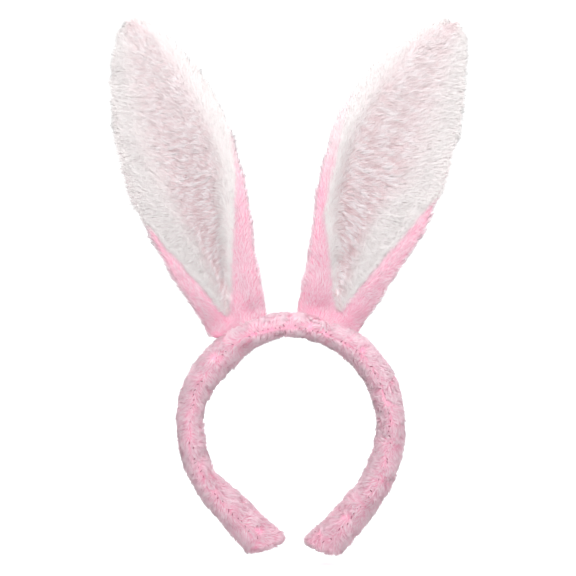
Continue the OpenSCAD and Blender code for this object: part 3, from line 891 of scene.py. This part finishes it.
for side in (LEFT, RIGHT):
    tag = NAME[side]
    band = band_skin(side)
    puff(band, sew_band(band, side), BAND_PRESSURE)
    subdivide(band)
    band.data.materials.append(BACKING)
    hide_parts(*(f"{tag}_{n}" for n in ("band_sleeve", "band_foam", "end_patch")))
    if side == LEFT:
        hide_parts("band_sleeve_crown", "band_foam_crown")
    seam, tip_sewing = seam_stitches(band, side), tip_stitches(side)
    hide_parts(f"{tag}_band_seam", *(["band_seam_crown"] if side == LEFT else []))
    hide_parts(f"{tag}_end_stitches")
    pieces = [band, seam, tip_sewing] + band_pile(band, side)
    for piece in pieces:
        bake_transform(piece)

    ear = ear_skin(side)
    puff(ear, sew_ear(ear, side), EAR_PRESSURE)
    subdivide(ear)
    ear.data.materials.append(BACKING)
    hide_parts(*(f"{tag}_ear_{n}" for n in
                       ("back_panel", "front_panel", "foam", "root_pad", "root_stitches", "edge_seam")))
    hinge, out, up = ear_frame(side)
    for piece in [ear] + ear_pile(ear, side):
        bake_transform(piece)

CAD_MATERIALS = (("core", CORE), ("wire", WIRE), ("seam", THREAD), ("stitches", THREAD))
for name, node in frame["nodes"].items():
    for word, material in CAD_MATERIALS:
        if word in name:
            node.data.materials.clear()
            node.data.materials.append(material)


# ------------------------------------------------------------------ studio

# A round paper bowl, pale all round. It throws no shadow and lights nothing; the sky and the lamps do.
FLOOR_GAP = 0.004
FLOOR_Z = cad_low.z - FLOOR_GAP
SWEEP = 0.6
BOWL_R, BOWL_H, BOWL_SIDES = 2.6, 3.0, 64
SWEEP_STEPS = 12
DOME_LOW, DOME_HIGH = 0.55, 1.0
PAPER_GLOW = 0.35
profile = [(0.001, 0.0), (BOWL_R - SWEEP, 0.0)]
profile += [
    (BOWL_R - SWEEP * (1 - math.sin(a)), SWEEP * (1 - math.cos(a)))
    for a in np.linspace(0.1, math.pi / 2, SWEEP_STEPS)
]
profile += [(BOWL_R, BOWL_H)]
verts = [
    (r * math.cos(a), r * math.sin(a), FLOOR_Z + z)
    for r, z in profile for a in np.linspace(0, 2 * math.pi, BOWL_SIDES, endpoint=False)
]
floor_mesh = bpy.data.meshes.new("studio_floor")
floor_mesh.from_pydata(verts, [], [
    (i * BOWL_SIDES + j, i * BOWL_SIDES + (j + 1) % BOWL_SIDES,
     (i + 1) * BOWL_SIDES + (j + 1) % BOWL_SIDES, (i + 1) * BOWL_SIDES + j)
    for i in range(len(profile) - 1) for j in range(BOWL_SIDES)
])
floor = bpy.data.objects.new("studio_floor", floor_mesh)
bpy.context.scene.collection.objects.link(floor)
paper = Nodes("studio_paper")
paper_grain = paper.noise(6.0, 2.0).outputs["Fac"]
paper_color = paper.mix(paper_grain, srgb(250, 250, 250), srgb(255, 255, 255))
floor_mesh.materials.append(paper.finish(paper_color, 0.9))
paper.shader.inputs["Emission Color"].default_value = (1, 1, 1, 1)
paper.shader.inputs["Emission Strength"].default_value = PAPER_GLOW
floor.visible_diffuse = False
floor.visible_glossy = False
floor.visible_shadow = False

world = bpy.data.worlds.new("studio")
world.use_nodes = True
background = world.node_tree.nodes["Background"]
height = world.node_tree.nodes.new("ShaderNodeSeparateXYZ")
dome = world.node_tree.nodes.new("ShaderNodeMapRange")
for key, v in (("From Min", -1), ("From Max", 1), ("To Min", DOME_LOW), ("To Max", DOME_HIGH)):
    dome.inputs[key].default_value = v
way = world.node_tree.nodes.new("ShaderNodeTexCoord").outputs["Generated"]
world.node_tree.links.new(way, height.inputs[0])
world.node_tree.links.new(height.outputs["Z"], dome.inputs["Value"])
world.node_tree.links.new(dome.outputs["Result"], background.inputs["Strength"])
background.inputs["Color"].default_value = (1, 1, 1, 1)
bpy.context.scene.world = world


def area_light(name, place, aim, size, power):
    light = bpy.data.lights.new(name, "AREA")
    light.shape = "SQUARE"
    light.size = size
    light.energy = power
    obj = bpy.data.objects.new(name, light)
    obj.location = place
    obj.rotation_euler = (Vector(aim) - Vector(place)).to_track_quat("-Z", "Y").to_euler()
    bpy.context.scene.collection.objects.link(obj)


aim = (0, 0, (cad_low.z + cad_high.z) / 2)
area_light("key_top", (-0.06, -0.55, 0.62), (0, 0, 0.08), 0.5, 3.2)
area_light("fill_front", (0.2, -1.5, 0.3), aim, 1.4, 7.0)
area_light("fill_back", (-0.4, 1.5, 0.5), aim, 1.4, 5.0)

LENS, SENSOR = 85.0, 36.0
# Width of the picture at the part, and the middle of the picture, in metres
VIEW_WIDTH = 0.3686
VIEW_X, VIEW_Z = -0.0013, 0.0883
camera = bpy.data.cameras.new("camera")
camera.lens = LENS
camera.sensor_width = SENSOR
shot = bpy.data.objects.new("camera", camera)
shot.location = (VIEW_X, -VIEW_WIDTH * LENS / SENSOR, VIEW_Z)
shot.rotation_euler = (math.pi / 2, 0, 0)
bpy.context.scene.collection.objects.link(shot)
bpy.context.scene.camera = shot
bpy.context.scene.view_settings.view_transform = "Standard"
